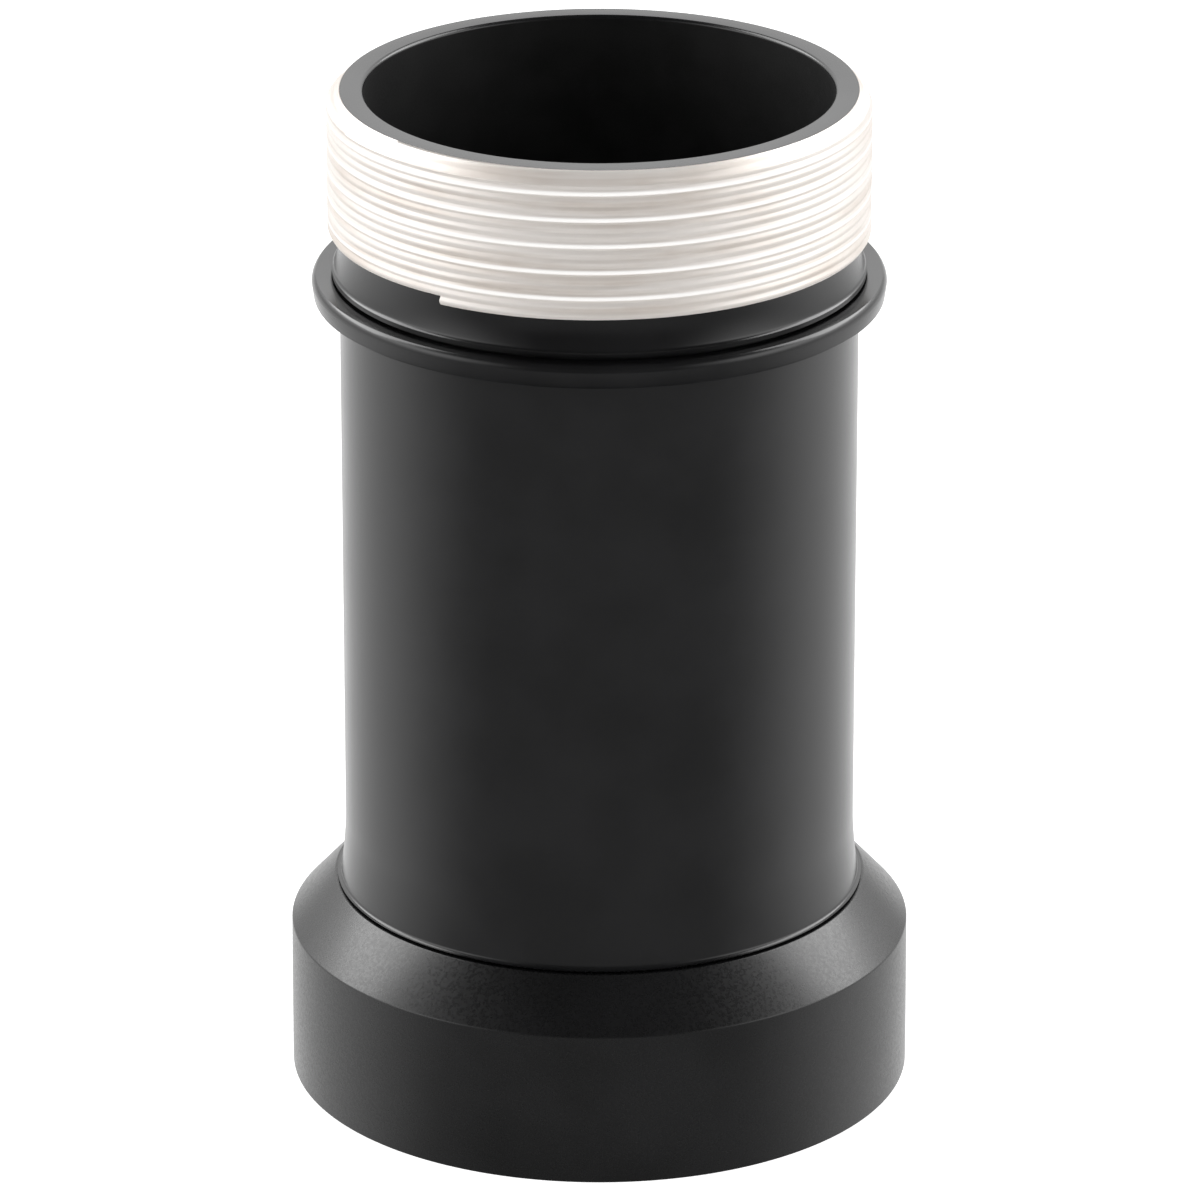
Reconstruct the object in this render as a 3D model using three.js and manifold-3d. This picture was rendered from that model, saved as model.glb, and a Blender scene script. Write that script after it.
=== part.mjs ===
// Barlow lens with a camera T-thread, as an assembly of separate pieces.
// Units are millimetres. +Z points from the telescope towards the camera.
// The origin is the centre of the socket's bottom face, which the lens stands on.

import * as THREE from 'three';
import { mergeVertices } from 'three/addons/utils/BufferGeometryUtils.js';
import Module from 'manifold-3d';

const manifoldLibrary = await Module();
manifoldLibrary.setup();

// ---------------------------------------------------------------- driving dimensions

const SEGMENTS = 48; // facets round every turned piece
const RUNNING_GAP = 0.2; // radial clearance where one piece screws into another
const FIT_GAP = 0.15; // radial clearance of small pieces inside the cell
const SEAT_GAP = 0.05; // axial clearance where one turned face rests on another
const OVERCUT = 1; // how far a slot's cutter runs out past the face it cuts

const OVERALL_HEIGHT = 81.2;
const THREAD_RADIUS = 21.0; // camera T-thread M42 x 0.75
const BORE_RADIUS = 18.3;

const TUBE_RADIUS = 20.1;
const TUBE_FOOT = 16.25; // underside of the tube's lip, on the socket
const FLANGE_RADIUS = 22.25;
const FLANGE_BOTTOM = 64.6;
const FLANGE_TOP = 66.4;

const NECK_RADIUS = 20.25;
const NECK_BOTTOM = 66.65;
const THREAD_BOTTOM = 69.55;
const RIM_RADIUS = 19.95;

const SOCKET_RADIUS = 24.5;
const SHOULDER_LOW = 12.3; // where the cone meets the socket's wall
const SHOULDER_HIGH = 16.05; // where the cone meets the tube
const SHOULDER_TOP_RADIUS = 21.0;

const JOINT_THREAD_RADIUS = 19.5; // female M39 x 0.5 at both ends of the barrel
const SPIGOT_RADIUS = JOINT_THREAD_RADIUS - RUNNING_GAP;
const COLLAR_SPIGOT_BOTTOM = 58.9;
const BARREL_SPIGOT_BOTTOM = 10.2;

const BARREL_BORE_RADIUS = 18.6;
const CELL_CHAMBER_RADIUS = 18.5; // female M37 x 0.5 for the lens cell
const RIB_RADIUS = 17.4;
const RIB_BOTTOM = 26.8;
const RIB_TOP = 28.3;

const CELL_RADIUS = CELL_CHAMBER_RADIUS - RUNNING_GAP;
const CELL_BOTTOM = 11.0;
const CELL_TOP = 25.0;
const CELL_BORE_RADIUS = 16.2;
const CELL_LIP = 1.2;
const CELL_LIP_RADIUS = 14.8;

const LENS_RADIUS = 16.0;
const CLEAR_RADIUS = 15.0; // the ground seat runs from here to the lens edge
const FLINT_EDGE = 2.2;
const FLINT_CAMERA_CURVE = 110;
const FLINT_INNER_CURVE = 45;
const CROWN_INNER_CURVE = 46;
const CROWN_SKY_CURVE = 70;
const CROWN_CENTRE = 1.8;
const LENS_AIR_GAP = 0.5;

const SCREW_COUNT = 3;
const SCREW_RADIUS = 1.0;
const SCREW_HEIGHT = 18.0;
const SCREW_HOLE_RADIUS = SCREW_RADIUS + 0.3;
const SCREW_FACETS = 16;

const BAFFLE_RADIUS = BARREL_BORE_RADIUS - RUNNING_GAP;
const BAFFLE_THICKNESS = 1.0;
const SLEEVE_WALL = 0.5;
const SLEEVE_LENGTH = 12.0;
const BAFFLE_HOLES = [14.2, 15.0, 15.8]; // lower, middle and upper aperture radii

const COLLAR_SEAL_SEAT_RADIUS = 20.35; // counterbores that hold the two joint seals
const SOCKET_SEAL_SEAT_RADIUS = 20.1;
const SEAL_SEAT_DEPTH = 1.1;
const SEAL_PROUD = 0.12;
const CUSHION_RADIUS = 0.45;
const RETAINER_HEIGHT = 1.75;

// Heights of the lens stack, from the cell's lip down towards the telescope.
const FLINT_TOP = CELL_TOP - CELL_LIP - SEAT_GAP;
const FLINT_SEAT = FLINT_TOP - FLINT_EDGE;
const SPACER_TOP = FLINT_SEAT - SEAT_GAP;
const SPACER_BOTTOM = SPACER_TOP - LENS_AIR_GAP;
const CROWN_TOP = SPACER_BOTTOM - SEAT_GAP;
const CROWN_BOTTOM = CROWN_TOP - sag(CROWN_INNER_CURVE, CLEAR_RADIUS) - CROWN_CENTRE
  - sag(CROWN_SKY_CURVE, CLEAR_RADIUS);
const CUSHION_HEIGHT = CROWN_BOTTOM - SEAT_GAP - CUSHION_RADIUS;
const RETAINER_TOP = CUSHION_HEIGHT - CUSHION_RADIUS - SEAT_GAP;
const RETAINER_BOTTOM = RETAINER_TOP - RETAINER_HEIGHT;

// ---------------------------------------------------------------- finishes

const FINISHES = {
  barrelBlack: { color: 0x242426, roughness: 0.42, metalness: 0.55 },
  socketBlack: { color: 0x202022, roughness: 0.5, metalness: 0.55 },
  bareAluminium: { color: 0xcfc9c4, roughness: 0.28, metalness: 1.0 },
  innerBlack: { color: 0x0b0b0c, roughness: 0.85, metalness: 0.1 },
  ringBlack: { color: 0x151516, roughness: 0.6, metalness: 0.4 },
  rubber: { color: 0x101010, roughness: 0.9, metalness: 0.0 },
  crownGlass: { color: 0xdfe8ea, roughness: 0.03, metalness: 0.0 },
  flintGlass: { color: 0xd8e4d6, roughness: 0.03, metalness: 0.0 },
  steel: { color: 0x8f9194, roughness: 0.35, metalness: 1.0 },
};

// ---------------------------------------------------------------- building helpers

// Depth of a spherical surface of the given curve radius, at a distance from its axis.
function sag(curve, distance) {
  return curve - Math.sqrt(curve * curve - distance * distance);
}

// Points of an arc in the half-plane (radius, height), angles in degrees from the +radius side.
function arc(centreRadius, centreHeight, radius, fromAngle, toAngle, steps) {
  const points = [];
  for (let step = 0; step <= steps; step += 1) {
    const angle = THREE.MathUtils.degToRad(fromAngle + ((toAngle - fromAngle) * step) / steps);
    points.push([centreRadius + radius * Math.cos(angle), centreHeight + radius * Math.sin(angle)]);
  }
  return points;
}

// Points of a lens surface from the first distance to the second; a positive rise lifts the centre.
function lensSurface(curve, seatHeight, rise, fromDistance, toDistance) {
  const steps = 5;
  const points = [];
  for (let step = 0; step <= steps; step += 1) {
    const distance = fromDistance + ((toDistance - fromDistance) * step) / steps;
    const depth = sag(curve, CLEAR_RADIUS) - sag(curve, distance);
    points.push([distance, seatHeight + rise * depth]);
  }
  return points;
}

// A piece turned about +Z. The outline runs upwards on its outer side.
function turned(outline, closed = true, segments = SEGMENTS) {
  const points = outline.map(([radius, height]) => new THREE.Vector2(radius, height));
  if (closed) {
    points.push(points[0].clone());
  }
  const geometry = new THREE.LatheGeometry(points, segments);
  geometry.rotateX(Math.PI / 2);
  return geometry;
}

// A ring of rectangular section.
function plainRing(innerRadius, outerRadius, bottom, top) {
  return turned([[innerRadius, bottom], [outerRadius, bottom], [outerRadius, top], [innerRadius, top]]);
}

// A ring of round section.
function roundRing(ringRadius, height, sectionRadius) {
  const section = arc(ringRadius, height, sectionRadius, -90, 270, 8);
  section.pop();
  return turned(section);
}

// Only positions, with shared vertices merged, as a boolean needs them.
function toManifold(geometry) {
  const bare = geometry.clone();
  bare.deleteAttribute('normal');
  bare.deleteAttribute('uv');
  const merged = mergeVertices(bare, 1e-4);
  return new manifoldLibrary.Manifold(new manifoldLibrary.Mesh({
    numProp: 3,
    vertProperties: new Float32Array(merged.attributes.position.array),
    triVerts: new Uint32Array(merged.index.array),
  }));
}

function fromManifold(solid) {
  const mesh = solid.getMesh();
  const geometry = new THREE.BufferGeometry();
  geometry.setAttribute('position', new THREE.BufferAttribute(new Float32Array(mesh.vertProperties), 3));
  geometry.setIndex(new THREE.BufferAttribute(new Uint32Array(mesh.triVerts), 1));
  geometry.computeVertexNormals();
  return geometry;
}

// The first geometry with all the cutters taken away.
function cut(geometry, cutters) {
  let solid = toManifold(geometry);
  for (const cutter of cutters) {
    solid = solid.subtract(toManifold(cutter));
  }
  return fromManifold(solid);
}

// Two opposite radial slots across a ring, for a pin spanner.
function spannerSlots(innerRadius, outerRadius, width, bottom, top) {
  const margin = 0.5;
  const length = outerRadius - innerRadius + 2 * margin;
  return [-1, 1].map((side) => {
    const slot = new THREE.BoxGeometry(length, width, top - bottom);
    slot.translate(side * (innerRadius + outerRadius) / 2, 0, (bottom + top) / 2);
    return slot;
  });
}

// Places the piece in the assembly under its name, with its finish.
function piece(name, geometry, finish) {
  const mesh = new THREE.Mesh(geometry, new THREE.MeshStandardMaterial(FINISHES[finish]));
  mesh.name = name;
  return mesh;
}

// ---------------------------------------------------------------- outer pieces

// Black tube with the rounded flange, a lip at its foot and threads at both ends.
function mainBarrel() {
  const lipRadius = 20.85;
  const lipFillet = lipRadius - TUBE_RADIUS;
  const flangeRound = 0.6;
  const flangeUndercut = 0.35;
  const flangeBelly = 0.12;
  const flangeBellyHeight = 0.25;
  const outline = [
    [CELL_CHAMBER_RADIUS, BARREL_SPIGOT_BOTTOM],
    [SPIGOT_RADIUS, BARREL_SPIGOT_BOTTOM],
    [SPIGOT_RADIUS, TUBE_FOOT],
    ...arc(lipRadius, TUBE_FOOT + lipFillet, lipFillet, 270, 180, 3),
    [TUBE_RADIUS, FLANGE_BOTTOM],
    [FLANGE_RADIUS - flangeUndercut, FLANGE_BOTTOM],
    [FLANGE_RADIUS - flangeBelly, FLANGE_BOTTOM + flangeBellyHeight],
    ...arc(FLANGE_RADIUS - flangeRound, FLANGE_TOP - flangeRound, flangeRound, 0, 90, 4),
    [COLLAR_SEAL_SEAT_RADIUS, FLANGE_TOP],
    [COLLAR_SEAL_SEAT_RADIUS, FLANGE_TOP - SEAL_SEAT_DEPTH],
    [JOINT_THREAD_RADIUS, FLANGE_TOP - SEAL_SEAT_DEPTH],
    [JOINT_THREAD_RADIUS, COLLAR_SPIGOT_BOTTOM - RUNNING_GAP],
    [BARREL_BORE_RADIUS, COLLAR_SPIGOT_BOTTOM - RUNNING_GAP],
    [BARREL_BORE_RADIUS, RIB_TOP],
    [RIB_RADIUS, RIB_TOP],
    [RIB_RADIUS, RIB_BOTTOM],
    [CELL_CHAMBER_RADIUS, RIB_BOTTOM],
  ];
  return piece('main_barrel', turned(outline), 'barrelBlack');
}

// Top ring: rim, male T-thread at its outside diameter, neck, and the spigot that screws into the barrel.
function cameraThreadCollar() {
  const rimBevel = 0.3;
  const neckBevel = 0.1;
  const threadRunout = 0.3;
  const leadChamfer = THREAD_RADIUS - RIM_RADIUS;
  const outline = [
    [BORE_RADIUS, COLLAR_SPIGOT_BOTTOM],
    [SPIGOT_RADIUS, COLLAR_SPIGOT_BOTTOM],
    [SPIGOT_RADIUS, NECK_BOTTOM],
    [NECK_RADIUS - neckBevel, NECK_BOTTOM],
    [NECK_RADIUS, NECK_BOTTOM + neckBevel],
    [NECK_RADIUS, THREAD_BOTTOM - threadRunout],
    [THREAD_RADIUS, THREAD_BOTTOM],
    [THREAD_RADIUS, OVERALL_HEIGHT - leadChamfer],
    [RIM_RADIUS, OVERALL_HEIGHT],
    [BORE_RADIUS + rimBevel, OVERALL_HEIGHT],
    [BORE_RADIUS, OVERALL_HEIGHT - rimBevel],
  ];
  return piece('camera_thread_collar', turned(outline), 'bareAluminium');
}

// Wide foot with the conical shoulder: female T-thread below, female barrel thread above.
function telescopeSocket() {
  const threadMinorRadius = 20.6;
  const reliefRadius = 21.1;
  const threadDepth = 7.0;
  const socketDepth = 8.0;
  const shoulderInnerRadius = 18.7;
  const footChamfer = 0.25;
  const entryChamfer = 0.5;
  const cornerRound = 0.3;
  const coneAngle = Math.atan2(SHOULDER_HIGH - SHOULDER_LOW, SOCKET_RADIUS - SHOULDER_TOP_RADIUS);
  const coneDegrees = 90 - THREE.MathUtils.radToDeg(coneAngle);
  const cornerTangent = cornerRound * Math.tan((Math.PI / 2 - coneAngle) / 2);
  const barrelSeat = BARREL_SPIGOT_BOTTOM - SEAT_GAP;
  const outline = [
    [threadMinorRadius + entryChamfer, 0],
    [SOCKET_RADIUS - footChamfer, 0],
    [SOCKET_RADIUS, footChamfer],
    ...arc(SOCKET_RADIUS - cornerRound, SHOULDER_LOW - cornerTangent, cornerRound, 0, coneDegrees, 4),
    [SHOULDER_TOP_RADIUS, SHOULDER_HIGH],
    [SOCKET_SEAL_SEAT_RADIUS, SHOULDER_HIGH],
    [SOCKET_SEAL_SEAT_RADIUS, SHOULDER_HIGH - SEAL_SEAT_DEPTH],
    [JOINT_THREAD_RADIUS, SHOULDER_HIGH - SEAL_SEAT_DEPTH],
    [JOINT_THREAD_RADIUS, barrelSeat],
    [shoulderInnerRadius, barrelSeat],
    [shoulderInnerRadius, socketDepth],
    [reliefRadius, socketDepth],
    [reliefRadius, threadDepth],
    [threadMinorRadius, threadDepth],
    [threadMinorRadius, entryChamfer],
  ];
  return piece('telescope_socket', turned(outline), 'socketBlack');
}

// A rubber ring between a spigot and the counterbore round it, a little proud of the joint face.
function jointSeal(name, seatRadius, jointFace) {
  const squeeze = 0.08;
  const ringRadius = (seatRadius + SPIGOT_RADIUS) / 2;
  const sectionRadius = (seatRadius - SPIGOT_RADIUS) / 2 - squeeze;
  return piece(name, roundRing(ringRadius, jointFace + SEAL_PROUD - sectionRadius, sectionRadius), 'rubber');
}

// ---------------------------------------------------------------- lens cell and glass

// Threaded cell with an inner lip on the camera side, spanner notches and holes for the screws.
function lensCell() {
  const notchWidth = 2.0;
  const notchTop = CELL_BOTTOM + 1.2;
  const bevel = 0.6;
  const holeLength = 4;
  const outline = [
    [CELL_BORE_RADIUS, CELL_BOTTOM],
    [CELL_RADIUS, CELL_BOTTOM],
    [CELL_RADIUS, CELL_TOP],
    [CELL_LIP_RADIUS + bevel, CELL_TOP],
    [CELL_LIP_RADIUS, CELL_TOP - bevel],
    [CELL_LIP_RADIUS, CELL_TOP - CELL_LIP],
    [CELL_BORE_RADIUS, CELL_TOP - CELL_LIP],
  ];
  const holes = screwAngles().map((angle) => {
    const hole = new THREE.CylinderGeometry(SCREW_HOLE_RADIUS, SCREW_HOLE_RADIUS, holeLength, SCREW_FACETS);
    hole.rotateZ(Math.PI / 2);
    hole.translate((CELL_BORE_RADIUS + CELL_RADIUS) / 2, 0, SCREW_HEIGHT);
    hole.rotateZ(angle);
    return hole;
  });
  const notches = spannerSlots(CELL_BORE_RADIUS, CELL_RADIUS, notchWidth, CELL_BOTTOM - OVERCUT, notchTop);
  return piece('lens_cell', cut(turned(outline), [...holes, ...notches]), 'ringBlack');
}

// The camera-side element: its convex face looks towards the telescope.
function flintMeniscusLens() {
  const outline = [
    ...lensSurface(FLINT_INNER_CURVE, FLINT_SEAT, -1, 0, CLEAR_RADIUS),
    [LENS_RADIUS, FLINT_SEAT],
    [LENS_RADIUS, FLINT_TOP],
    ...lensSurface(FLINT_CAMERA_CURVE, FLINT_TOP, -1, CLEAR_RADIUS, 0),
  ];
  return piece('flint_meniscus_lens', turned(outline, false), 'flintGlass');
}

// The telescope-side element, hollow on both faces.
function negativeCrownLens() {
  const outline = [
    ...lensSurface(CROWN_SKY_CURVE, CROWN_BOTTOM, 1, 0, CLEAR_RADIUS),
    [LENS_RADIUS, CROWN_BOTTOM],
    [LENS_RADIUS, CROWN_TOP],
    ...lensSurface(CROWN_INNER_CURVE, CROWN_TOP, -1, CLEAR_RADIUS, 0),
  ];
  return piece('negative_crown_lens', turned(outline, false), 'crownGlass');
}

function lensSpacerRing() {
  const wall = 0.9;
  const geometry = plainRing(LENS_RADIUS - wall, LENS_RADIUS, SPACER_BOTTOM, SPACER_TOP);
  return piece('lens_spacer_ring', geometry, 'ringBlack');
}

function lensCushionRing() {
  const geometry = roundRing(LENS_RADIUS - CUSHION_RADIUS, CUSHION_HEIGHT, CUSHION_RADIUS);
  return piece('lens_cushion_ring', geometry, 'rubber');
}

// Threaded ring that holds the glass in the cell, slotted on its telescope side.
function lensRetainingRing() {
  const innerRadius = 14.7;
  const outerRadius = CELL_BORE_RADIUS - FIT_GAP;
  const slotWidth = 1.6;
  const slotTop = RETAINER_BOTTOM + 0.9;
  const ring = plainRing(innerRadius, outerRadius, RETAINER_BOTTOM, RETAINER_TOP);
  const slots = spannerSlots(innerRadius, outerRadius, slotWidth, RETAINER_BOTTOM - OVERCUT, slotTop);
  return piece('lens_retaining_ring', cut(ring, slots), 'ringBlack');
}

function screwAngles() {
  return Array.from({ length: SCREW_COUNT }, (_, index) => Math.PI / 2 + (index * 2 * Math.PI) / SCREW_COUNT);
}

// Radial grub screws through the cell wall, each with a hexagon socket in its outer end.
function lensCentringScrews() {
  const innerEnd = CELL_BORE_RADIUS + FIT_GAP;
  const outerEnd = CELL_RADIUS - RUNNING_GAP;
  const socketRadius = 0.5;
  const socketDepth = 0.8;
  return screwAngles().map((angle, index) => {
    const body = new THREE.CylinderGeometry(SCREW_RADIUS, SCREW_RADIUS, outerEnd - innerEnd, SCREW_FACETS);
    const socket = new THREE.CylinderGeometry(socketRadius, socketRadius, 2 * socketDepth, 6);
    socket.translate(0, -(outerEnd - innerEnd) / 2, 0);
    const geometry = cut(body, [socket]);
    geometry.rotateZ(Math.PI / 2);
    geometry.translate((innerEnd + outerEnd) / 2, 0, SCREW_HEIGHT);
    geometry.rotateZ(angle);
    return piece(`lens_centring_screw_${index + 1}`, geometry, 'steel');
  });
}

function cellSpacerRing() {
  const outerRadius = CELL_RADIUS - 0.1;
  const innerRadius = outerRadius - 0.6;
  const geometry = plainRing(innerRadius, outerRadius, CELL_TOP + SEAT_GAP, RIB_BOTTOM - SEAT_GAP);
  return piece('cell_spacer_ring', geometry, 'ringBlack');
}

// ---------------------------------------------------------------- baffle stack

// A ring whose aperture comes to a thin edge on the telescope side.
function baffleRing(name, holeRadius, bottom) {
  const edge = 0.15;
  const outline = [
    [holeRadius, bottom],
    [BAFFLE_RADIUS, bottom],
    [BAFFLE_RADIUS, bottom + BAFFLE_THICKNESS],
    [holeRadius + BAFFLE_THICKNESS, bottom + BAFFLE_THICKNESS],
    [holeRadius, bottom + edge],
  ];
  return piece(name, turned(outline), 'innerBlack');
}

// Rings and sleeves stand on each other from the barrel's rib up to the retaining ring.
function baffleStack() {
  const pieces = [];
  const names = ['lower', 'middle', 'upper'];
  let height = RIB_TOP + SEAT_GAP;
  names.forEach((name, index) => {
    pieces.push(baffleRing(`baffle_ring_${name}`, BAFFLE_HOLES[index], height));
    height += BAFFLE_THICKNESS + SEAT_GAP;
    if (index < names.length - 1) {
      const sleeveName = index === 0 ? 'baffle_sleeve_lower' : 'baffle_sleeve_upper';
      const sleeve = plainRing(BAFFLE_RADIUS - SLEEVE_WALL, BAFFLE_RADIUS, height, height + SLEEVE_LENGTH);
      pieces.push(piece(sleeveName, sleeve, 'innerBlack'));
      height += SLEEVE_LENGTH + SEAT_GAP;
    }
  });
  pieces.push(baffleRetainingRing(height));
  return pieces;
}

function baffleRetainingRing(bottom) {
  const innerRadius = 17.0;
  const top = bottom + 2.4;
  const slotWidth = 2.0;
  const slotBottom = top - 1.0;
  const ring = plainRing(innerRadius, BAFFLE_RADIUS, bottom, top);
  const slots = spannerSlots(innerRadius, BAFFLE_RADIUS, slotWidth, slotBottom, top + OVERCUT);
  return piece('baffle_retaining_ring', cut(ring, slots), 'ringBlack');
}

// ---------------------------------------------------------------- assembly

const barlowLens = new THREE.Group();
barlowLens.name = 'barlow_lens';

const doublet = new THREE.Group();
doublet.add(lensCell(), flintMeniscusLens(), lensSpacerRing(), negativeCrownLens());
doublet.add(lensCushionRing(), lensRetainingRing(), ...lensCentringScrews());

barlowLens.add(mainBarrel(), cameraThreadCollar(), telescopeSocket());
barlowLens.add(jointSeal('collar_seal_ring', COLLAR_SEAL_SEAT_RADIUS, FLANGE_TOP));
barlowLens.add(jointSeal('socket_seal_ring', SOCKET_SEAL_SEAT_RADIUS, SHOULDER_HIGH));
barlowLens.add(doublet, cellSpacerRing(), ...baffleStack());

export default barlowLens;
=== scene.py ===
"""Looks of the barlow lens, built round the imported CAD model.

Outlines are in millimetres, as in the CAD source, and every mesh is made in metres in the CAD frame.
+Z points to the camera side of the lens. The front of the scene is -Y.
"""
import math

import bmesh
import bpy
from mathutils import Matrix, Vector


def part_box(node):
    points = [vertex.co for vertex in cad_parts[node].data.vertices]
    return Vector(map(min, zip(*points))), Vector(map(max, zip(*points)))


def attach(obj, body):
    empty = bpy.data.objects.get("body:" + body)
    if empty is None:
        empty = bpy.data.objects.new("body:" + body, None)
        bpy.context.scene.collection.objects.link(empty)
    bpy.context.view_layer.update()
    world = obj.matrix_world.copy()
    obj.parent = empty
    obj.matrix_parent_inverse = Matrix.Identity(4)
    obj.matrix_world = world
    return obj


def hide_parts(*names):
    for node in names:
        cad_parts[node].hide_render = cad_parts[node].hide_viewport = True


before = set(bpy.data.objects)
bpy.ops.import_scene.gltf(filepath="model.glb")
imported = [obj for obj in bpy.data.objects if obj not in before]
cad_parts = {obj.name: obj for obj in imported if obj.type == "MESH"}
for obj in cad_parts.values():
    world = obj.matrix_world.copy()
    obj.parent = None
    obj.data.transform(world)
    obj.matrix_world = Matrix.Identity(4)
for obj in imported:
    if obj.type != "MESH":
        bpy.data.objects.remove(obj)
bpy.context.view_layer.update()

MM = 0.001

# ---------------------------------------------------------------- sizes taken from the frame


def low_mm(node_name):
    """Lowest height of a CAD node."""
    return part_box(node_name)[0].z / MM


def high_mm(node_name):
    """Highest height of a CAD node."""
    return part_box(node_name)[1].z / MM


def radius_mm(node_name):
    """Outer radius of a CAD node that is round about Z."""
    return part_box(node_name)[1].x / MM


RIM_TOP = high_mm("camera_thread_collar")
THREAD_RADIUS = radius_mm("camera_thread_collar")
COLLAR_SPIGOT_BOTTOM = low_mm("camera_thread_collar")
FLANGE_RADIUS = radius_mm("main_barrel")
FLANGE_TOP = high_mm("main_barrel")
BARREL_SPIGOT_BOTTOM = low_mm("main_barrel")
SOCKET_RADIUS = radius_mm("telescope_socket")
SHOULDER_HIGH = high_mm("telescope_socket")
CELL_RADIUS = radius_mm("lens_cell")
CELL_BOTTOM = low_mm("lens_cell")
CELL_TOP = high_mm("lens_cell")
LENS_RADIUS = radius_mm("flint_meniscus_lens")

# Sizes inside those boxes: the CAD source's, some of them moved by up to 0.2 mm to suit the photo, and the
# depths and pitches of the threads, which are plain cylinders in the CAD.
T_PITCH = 0.75
RIDGE_PITCH = 0.69
RIDGE_DEPTH = 0.14
FINE_PITCH = 0.5
FINE_DEPTH = 0.25
T_DEPTH = 0.42
TUBE_RADIUS = 20.1
TUBE_FOOT = 16.2
BORE_RADIUS = 18.12
RIM_RADIUS = 19.95
NECK_RADIUS = 20.05
NECK_BOTTOM = 66.55
THREAD_BOTTOM = 69.55
FLANGE_BOTTOM = 64.6
SHOULDER_LOW = 12.3
SHOULDER_TOP_RADIUS = 21.0
JOINT_THREAD_RADIUS = 19.5
SPIGOT_RADIUS = 19.3
BARREL_BORE_RADIUS = 18.6
CHAMBER_RADIUS = 18.5
RIB_RADIUS = 17.4
RIB_BOTTOM = 26.8
RIB_TOP = 28.3
COLLAR_SEAL_SEAT = 20.35
SOCKET_SEAL_SEAT = 20.1
SEAL_SEAT_DEPTH = 1.1
SEAT_GAP = 0.05
RUNNING_GAP = 0.2
CELL_BORE_RADIUS = 16.2
CELL_LIP = 1.2
CELL_LIP_RADIUS = 14.8
CLEAR_RADIUS = 15.0
SCREW_RADIUS = 1.0
SCREW_HEIGHT = 18.0
SCREW_COUNT = 3
FLINT_CAMERA_CURVE = 110.0
FLINT_INNER_CURVE = 45.0
CROWN_INNER_CURVE = 46.0
CROWN_SKY_CURVE = 70.0
LENS_SPACER_BORE = 15.1
LENS_RETAINER_BORE = 14.7
BAFFLE_RETAINER_BORE = 17.0
CELL_SPACER_BORE = 17.6
BAFFLE_HOLES = {"lower": 14.2, "middle": 15.0, "upper": 15.8}

# Lips, roundings and flares of the turned outlines, the ends of the bare thread and the socket's inside.
# The CAD leaves some of them out, the neck's lip among them.
TUBE_LIP_RADIUS = 20.8
TUBE_LIP_ROUND = 0.34
TUBE_FLARE_HEIGHT = 4.5
TUBE_FLARE_POWER = 1.6
TUBE_FLARE_STEPS = 10
FLANGE_ROUND = 0.8
FLANGE_ROUND_END = 52
FLANGE_UNDERCUT = 0.16
FLANGE_DISH = 0.06
NECK_LIP_RADIUS = 20.68
NECK_FILLET = 0.55
NECK_LIP_TILT = 55
NECK_LIP_EDGE = 0.34
NECK_FLARE_POWER = 2
NECK_FLARE_STEPS = 12
THREAD_RUNOUT = 0.3
THREAD_START = -125
RIM_STEP = 1.6
SOCKET_THREAD_MINOR = 20.6
SOCKET_THREAD_DEPTH = 7.0
SOCKET_DEPTH = 8.0
SOCKET_RELIEF_RADIUS = 21.1
SOCKET_SEAT_RADIUS = 18.7

# Painted highlight lines on the crests of the bare thread: how many ridges apart they are, and where they
# start.
PAINTED_HIGHLIGHT_EVERY = 3
PAINTED_HIGHLIGHT_PHASE = -1.28

# ---------------------------------------------------------------- outlines


def arc(centre_radius, centre_height, radius, start_degrees, end_degrees, steps):
    """Outline points along an arc, with angles counted from the outward side."""
    points = []
    for step in range(steps + 1):
        angle = math.radians(start_degrees + (end_degrees - start_degrees) * step / steps)
        points.append((centre_radius + radius * math.cos(angle), centre_height + radius * math.sin(angle)))
    return points


def with_rounds(outline, steps=5):
    """A closed outline whose points may carry a third number: the radius that rounds that corner."""
    points = []
    count = len(outline)
    for index, corner in enumerate(outline):
        here = Vector(corner[:2])
        if len(corner) < 3:
            points.append(here)
            continue
        before = (Vector(outline[index - 1][:2]) - here).normalized()
        after = (Vector(outline[(index + 1) % count][:2]) - here).normalized()
        half = before.angle(after) / 2
        centre = here + (before + after).normalized() * corner[2] / math.sin(half)
        start = here + before * corner[2] / math.tan(half) - centre
        end = here + after * corner[2] / math.tan(half) - centre
        for step in range(steps + 1):
            share = step / steps
            spoke = start * (1 - share) + end * share
            points.append(centre + spoke.normalized() * corner[2])
    return points


def ridges(crest, root, bottom, top, pitch):
    """Outline points of a run of thread ridges, going up."""
    points = []
    for index in range(int((top - bottom) / pitch)):
        start = bottom + index * pitch
        points += [(root, start + 0.08 * pitch), (crest, start + 0.44 * pitch),
                   (crest, start + 0.56 * pitch), (root, start + 0.92 * pitch)]
    return points


def male_thread(crest, bottom, top):
    """A fine outer thread, between two heights."""
    return ridges(crest, crest - FINE_DEPTH, bottom, top, FINE_PITCH)


def female_thread(crest, bottom, top):
    """A fine inner thread, between two heights."""
    return ridges(crest, crest + FINE_DEPTH, bottom, top, FINE_PITCH)


def flare(start, end_radius, rise, power, steps):
    """Outline points that follow a start point up and sweep in to the end radius."""
    points = []
    for step in range(1, steps + 1):
        up = step / steps
        points.append((end_radius + (start[0] - end_radius) * (1 - up) ** power, start[1] + rise * up))
    return points


def sag(curve, distance):
    """Depth of a spherical surface at a distance from its axis."""
    return curve - math.sqrt(curve * curve - distance * distance)


# ---------------------------------------------------------------- meshes


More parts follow.
